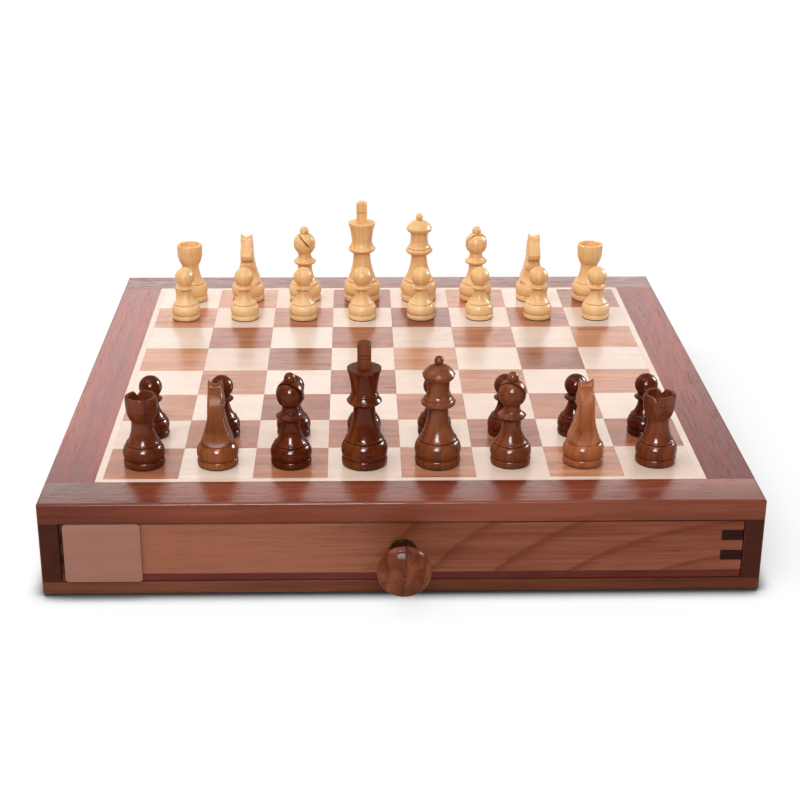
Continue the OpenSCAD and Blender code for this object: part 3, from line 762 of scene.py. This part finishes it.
bishop_foot, saw_w, slot_z = 23.6, 1.4, 46
bishop = turned("bishop", [
    *foot(bishop_foot, 12.4), *bead(bishop_foot, 12.4, 13.8),
    *bowed((8.9, 13.8), (5.1, 26.8), -1.1, 12), *collar(8.2, 5.8, 26.8, 29.2, 32, 5.5),
    *bowed((5, 32), (4.7, 36), -0.2, 5), *bowed((4.9, 36), (7.8, 43.4), 1.1, 10),
    *bowed((7.9, 43.4), (2.6, 50.5), 1.4, 12), *ball(3.3, 52.2, 2.83)], 96)
for files, team, off, tilt, turn in (((2, 5), "dark", 2.5, 20, -115),
                                     ((2,), "light", 0.3, 42, 0), ((5,), "light", 2.5, 20, 105)):
    saw = block([(-saw_w / 2, -6), (saw_w / 2, -6), (saw_w / 2, 9), (-saw_w / 2, 9)], 24)
    saw.transform(Matrix.Rotation(math.radians(turn), 4, "Z")
                  @ Matrix.Translation((off * MM, 0, slot_z * MM))
                  @ Matrix.Rotation(math.radians(tilt), 4, "Y"))
    stand("bishop", smooth(worked(bishop, saw)), bishop_foot, files, (team,))


# ---- Rooks -------------------------------------------------------------------------------
# A tower with a hollow top, filed across twice in a V to leave four battlements. The light
# ones are filed less deep, and their tops look flat from the front.

rook_foot, rook_top = 23.8, 42
rook = turned("rook", [
    *foot(rook_foot, 13), *bead(rook_foot, 13, 14.4), *bowed((9, 14.4), (6.2, 27.6), -0.9, 12),
    *bowed((6.7, 27.6), (9, 37), 0.7, 10), *bowed((9.15, 37), (8.95, rook_top), 0.12, 4),
    (7, rook_top), (7, 36.6), (0, 36.6)])
for files, team, slant, depth in (((0,), "dark", 20, 3), ((7,), "dark", -20, 3),
                                  ((0, 7), "light", 45, 0.9)):
    castle, over = rook, 3
    half = (depth + over) * 4.6 / 6
    for turn in (slant, slant + 90):
        three_square_file = block([(0, rook_top - depth), (half, rook_top + over),
                                   (-half, rook_top + over)], 48)
        three_square_file.transform(Matrix.Rotation(math.radians(turn), 4, "Z"))
        castle = worked(castle, three_square_file)
    stand("rook", smooth(castle), rook_foot, files, (team,))


# ---- Pawns -------------------------------------------------------------------------------
# The smallest men: a foot with a thin collar over it, and a ball on top. They stand in a
# row before the others.

pawn_foot = 20.2
pawn = turned("pawn", [
    *foot(pawn_foot, 11), *bead(pawn_foot, 11, 12.2), *bowed((7.6, 12.2), (4.2, 21.4), -0.8, 12),
    *collar(6.7, 4.8, 21.4, 22.8, 24.8, 4.7), (4.2, 24.8), *ball(6.8, 30.7, 4.2)])
stand("pawn", smooth(pawn), pawn_foot)


# ---- Knights -----------------------------------------------------------------------------
# A horse's head carved from a slab that spreads into the turned foot. Mane, cheek, eye,
# nostril and mouth are cut into its flat sides, and a slot parts the jaw from the chest.

def stroke(across, up, points):
    """How far places lie from a drawn line."""
    near = np.full(np.broadcast(across, up).shape, 1e9)
    for (x0, z0), (x1, z1) in zip(points, points[1:]):
        dx, dz = x1 - x0, z1 - z0
        t = np.clip(((across - x0) * dx + (up - z0) * dz) / (dx * dx + dz * dz + 1e-12), 0, 1)
        near = np.minimum(near, np.hypot(across - x0 - t * dx, up - z0 - t * dz))
    return near


def signed_distance(outline, across, up):
    """How far places lie outside a closed outline, negative inside it."""
    closed = outline + outline[:1]
    near = stroke(across, up, closed)
    inside = np.zeros(near.shape, bool)
    for (x0, z0), (x1, z1) in zip(closed, closed[1:]):
        if z0 != z1:
            crossing = x0 + (up - z0) * (x1 - x0) / (z1 - z0)
            inside ^= ((z0 > up) != (z1 > up)) & (across < crossing)
    return np.where(inside, -near, near)


def meet(a, b, blend):
    """What two solids share, with the edge between them rounded."""
    gap = np.maximum(blend - np.abs(a - b), 0) / blend
    return np.maximum(a, b) + gap * gap * blend / 4


def groove(distance, width, depth):
    """The depth of a gouge's cut at that distance from its middle."""
    return depth * np.exp(-(distance / width) ** 2)


def surface_of(name, values, low, step):
    """A mesh where the values on a grid pass through 0, negative being inside."""
    cells = tuple(n - 1 for n in values.shape)
    total, count = np.zeros((*cells, 3)), np.zeros(cells)
    crossings = []
    for axis in range(3):
        first = np.take(values, range(cells[axis]), axis)
        second = np.take(values, range(1, cells[axis] + 1), axis)
        crosses = (first < 0) != (second < 0)
        part = np.where(crosses, first / np.where(crosses, first - second, 1), 0)
        spot = np.moveaxis(np.indices(first.shape).astype(float), 0, -1)
        spot[..., axis] += part
        others = [a for a in range(3) if a != axis]
        for back in itertools.product((0, 1), repeat=2):
            cut = [slice(None)] * 3
            for other, b in zip(others, back):
                cut[other] = slice(b, b + cells[other])
            total += spot[tuple(cut)] * crosses[tuple(cut)][..., None]
            count += crosses[tuple(cut)]
        crossings.append((axis, others, crosses, first < 0))
    used = count > 0
    number = np.cumsum(used.ravel()).reshape(cells) - 1
    points = total[used] / count[used][:, None] * step + np.array(low)
    faces = []
    for axis, others, crosses, starts_inside in crossings:
        inner = [slice(None)] * 3
        for other in others:
            inner[other] = slice(1, cells[other])
        spots = np.argwhere(crosses[tuple(inner)])
        for other in others:
            spots[:, other] += 1
        ring = []
        for b0, b1 in ((1, 1), (0, 1), (0, 0), (1, 0)):
            cell = spots.copy()
            cell[:, others[0]] -= b0
            cell[:, others[1]] -= b1
            ring.append(number[tuple(cell.T)])
        quads = np.stack(ring, 1)
        flip = starts_inside[tuple(spots.T)] == (axis == 1)
        quads[flip] = quads[flip][:, ::-1]
        faces += quads.tolist()
    mesh = bpy.data.meshes.new(name)
    mesh.from_pydata((points * MM).tolist(), [], faces)
    return mesh


def line(start, end, bow, steps=6):
    """Points of an arc without its end, standing off to the left by bow."""
    return bowed(start, end, -bow, steps)[:-1]


knight_foot, neck_z = 23.8, 13.2
horse_side = [*line((10.2, 12.2), (5.6, 23), 1.2), *line((5.6, 23), (4.4, 31.2), -1.2),
              *line((4.4, 31.2), (9.6, 32.2), -0.5), *line((9.6, 32.2), (11.4, 37), -1),
              *line((11.4, 37), (5.2, 45.4), 0.5), *line((5.2, 45.4), (2, 51.5), -0.6),
              *line((2, 51.5), (-1.2, 47), -0.5), *line((-1.2, 47), (-8.6, 36.6), -1.6),
              *line((-8.6, 36.6), (-7.6, 22), -1), *line((-7.6, 22), (-10.2, 12.2), 0.9),
              (-10.2, 12.2)]
horse_front = [*line((10.2, 12.2), (4.7, 31), 0.6), (4.7, 31), (4.2, 51.5), (3.5, 51.5),
               *line((3.5, 51.5), (-3.5, 51.5), 3.4, 8), (-3.5, 51.5), (-4.2, 51.5),
               (-4.7, 31), *line((-4.7, 31), (-10.2, 12.2), 0.6), (-10.2, 12.2)]
step = 0.45
low, high = (-11.5, -11.5, 11.0), (11.5, 12.5, 53.0)
xs, ys, zs = (np.arange(a, b + step, step) for a, b in zip(low, high))
side_y, side_z = ys[:, None], zs[None, :]
side_off = signed_distance(horse_side, side_y, side_z)
front_off = signed_distance(horse_front, xs[:, None], zs[None, :])
behind = np.clip((1.0 - side_y) / 3 + 0 * side_z, 0, 1)
mane = behind * np.clip((side_z - 19) / 3, 0, 1)
mane_w = 4.4
strands = 0.5 + 0.5 * np.cos(math.tau * (side_z - 0.55 * side_y) / 3.1)
carving = mane * groove(side_off + mane_w, 0.45, 0.9)
carving = carving + (mane * np.clip((side_off + mane_w) / 1.2, 0, 1)
                     * (0.15 + 0.45 * strands ** 3))
eye_rim = np.hypot(side_y - 4.4, side_z - 42.0) - 1.5
nostril = np.hypot(side_y - 9.9, side_z - 37.4)
mouth = stroke(side_y, side_z, [(12.2, 34.6), (9.2, 35.0), (7.8, 35.6)])
cheek = stroke(side_y, side_z, [(3.8, 32.6), (1.4, 34.8), (0.8, 37.8), (1.8, 40.6)])
ear = stroke(side_y, side_z, [(1.0, 45.4), (1.9, 49.2)])
for off, width, depth in ((eye_rim, 0.45, 0.7), (nostril, 0.7, 1.2), (mouth, 0.4, 1.4),
                          (cheek, 0.5, 0.6), (ear, 0.5, 0.8)):
    carving = carving + groove(off, width, depth)
blank_r, flare = 10.2, 0.375
round_off = np.hypot(xs[:, None, None], ys[None, :, None]) - (
    blank_r + flare * (zs[None, None, :] - neck_z))
flat_sides = front_off[:, None, :] + carving[None, :, :]
half_gap = 1.05
jaw_gap = stroke(side_y, side_z, [(13.0, 29.9), (4.8, 31.95)]) - half_gap
head = meet(meet(side_off[None, :, :] + 0 * flat_sides, flat_sides, 1.4), round_off, 1.0)
head = meet(head, -(jaw_gap[None, :, :] + 0 * head), 0.4)
sunk = 0.4
head = np.maximum(head, (neck_z - sunk) - zs[None, None, :])
carved_head = surface_of("horse", head, low, step)
stand("knight", smooth(turned("knight", foot(knight_foot, neck_z))), knight_foot,
      top=smooth(carved_head, 50))


# ---- Last step ---------------------------------------------------------------------------
# Everything placed above is brought up to date.

bpy.context.view_layer.update()
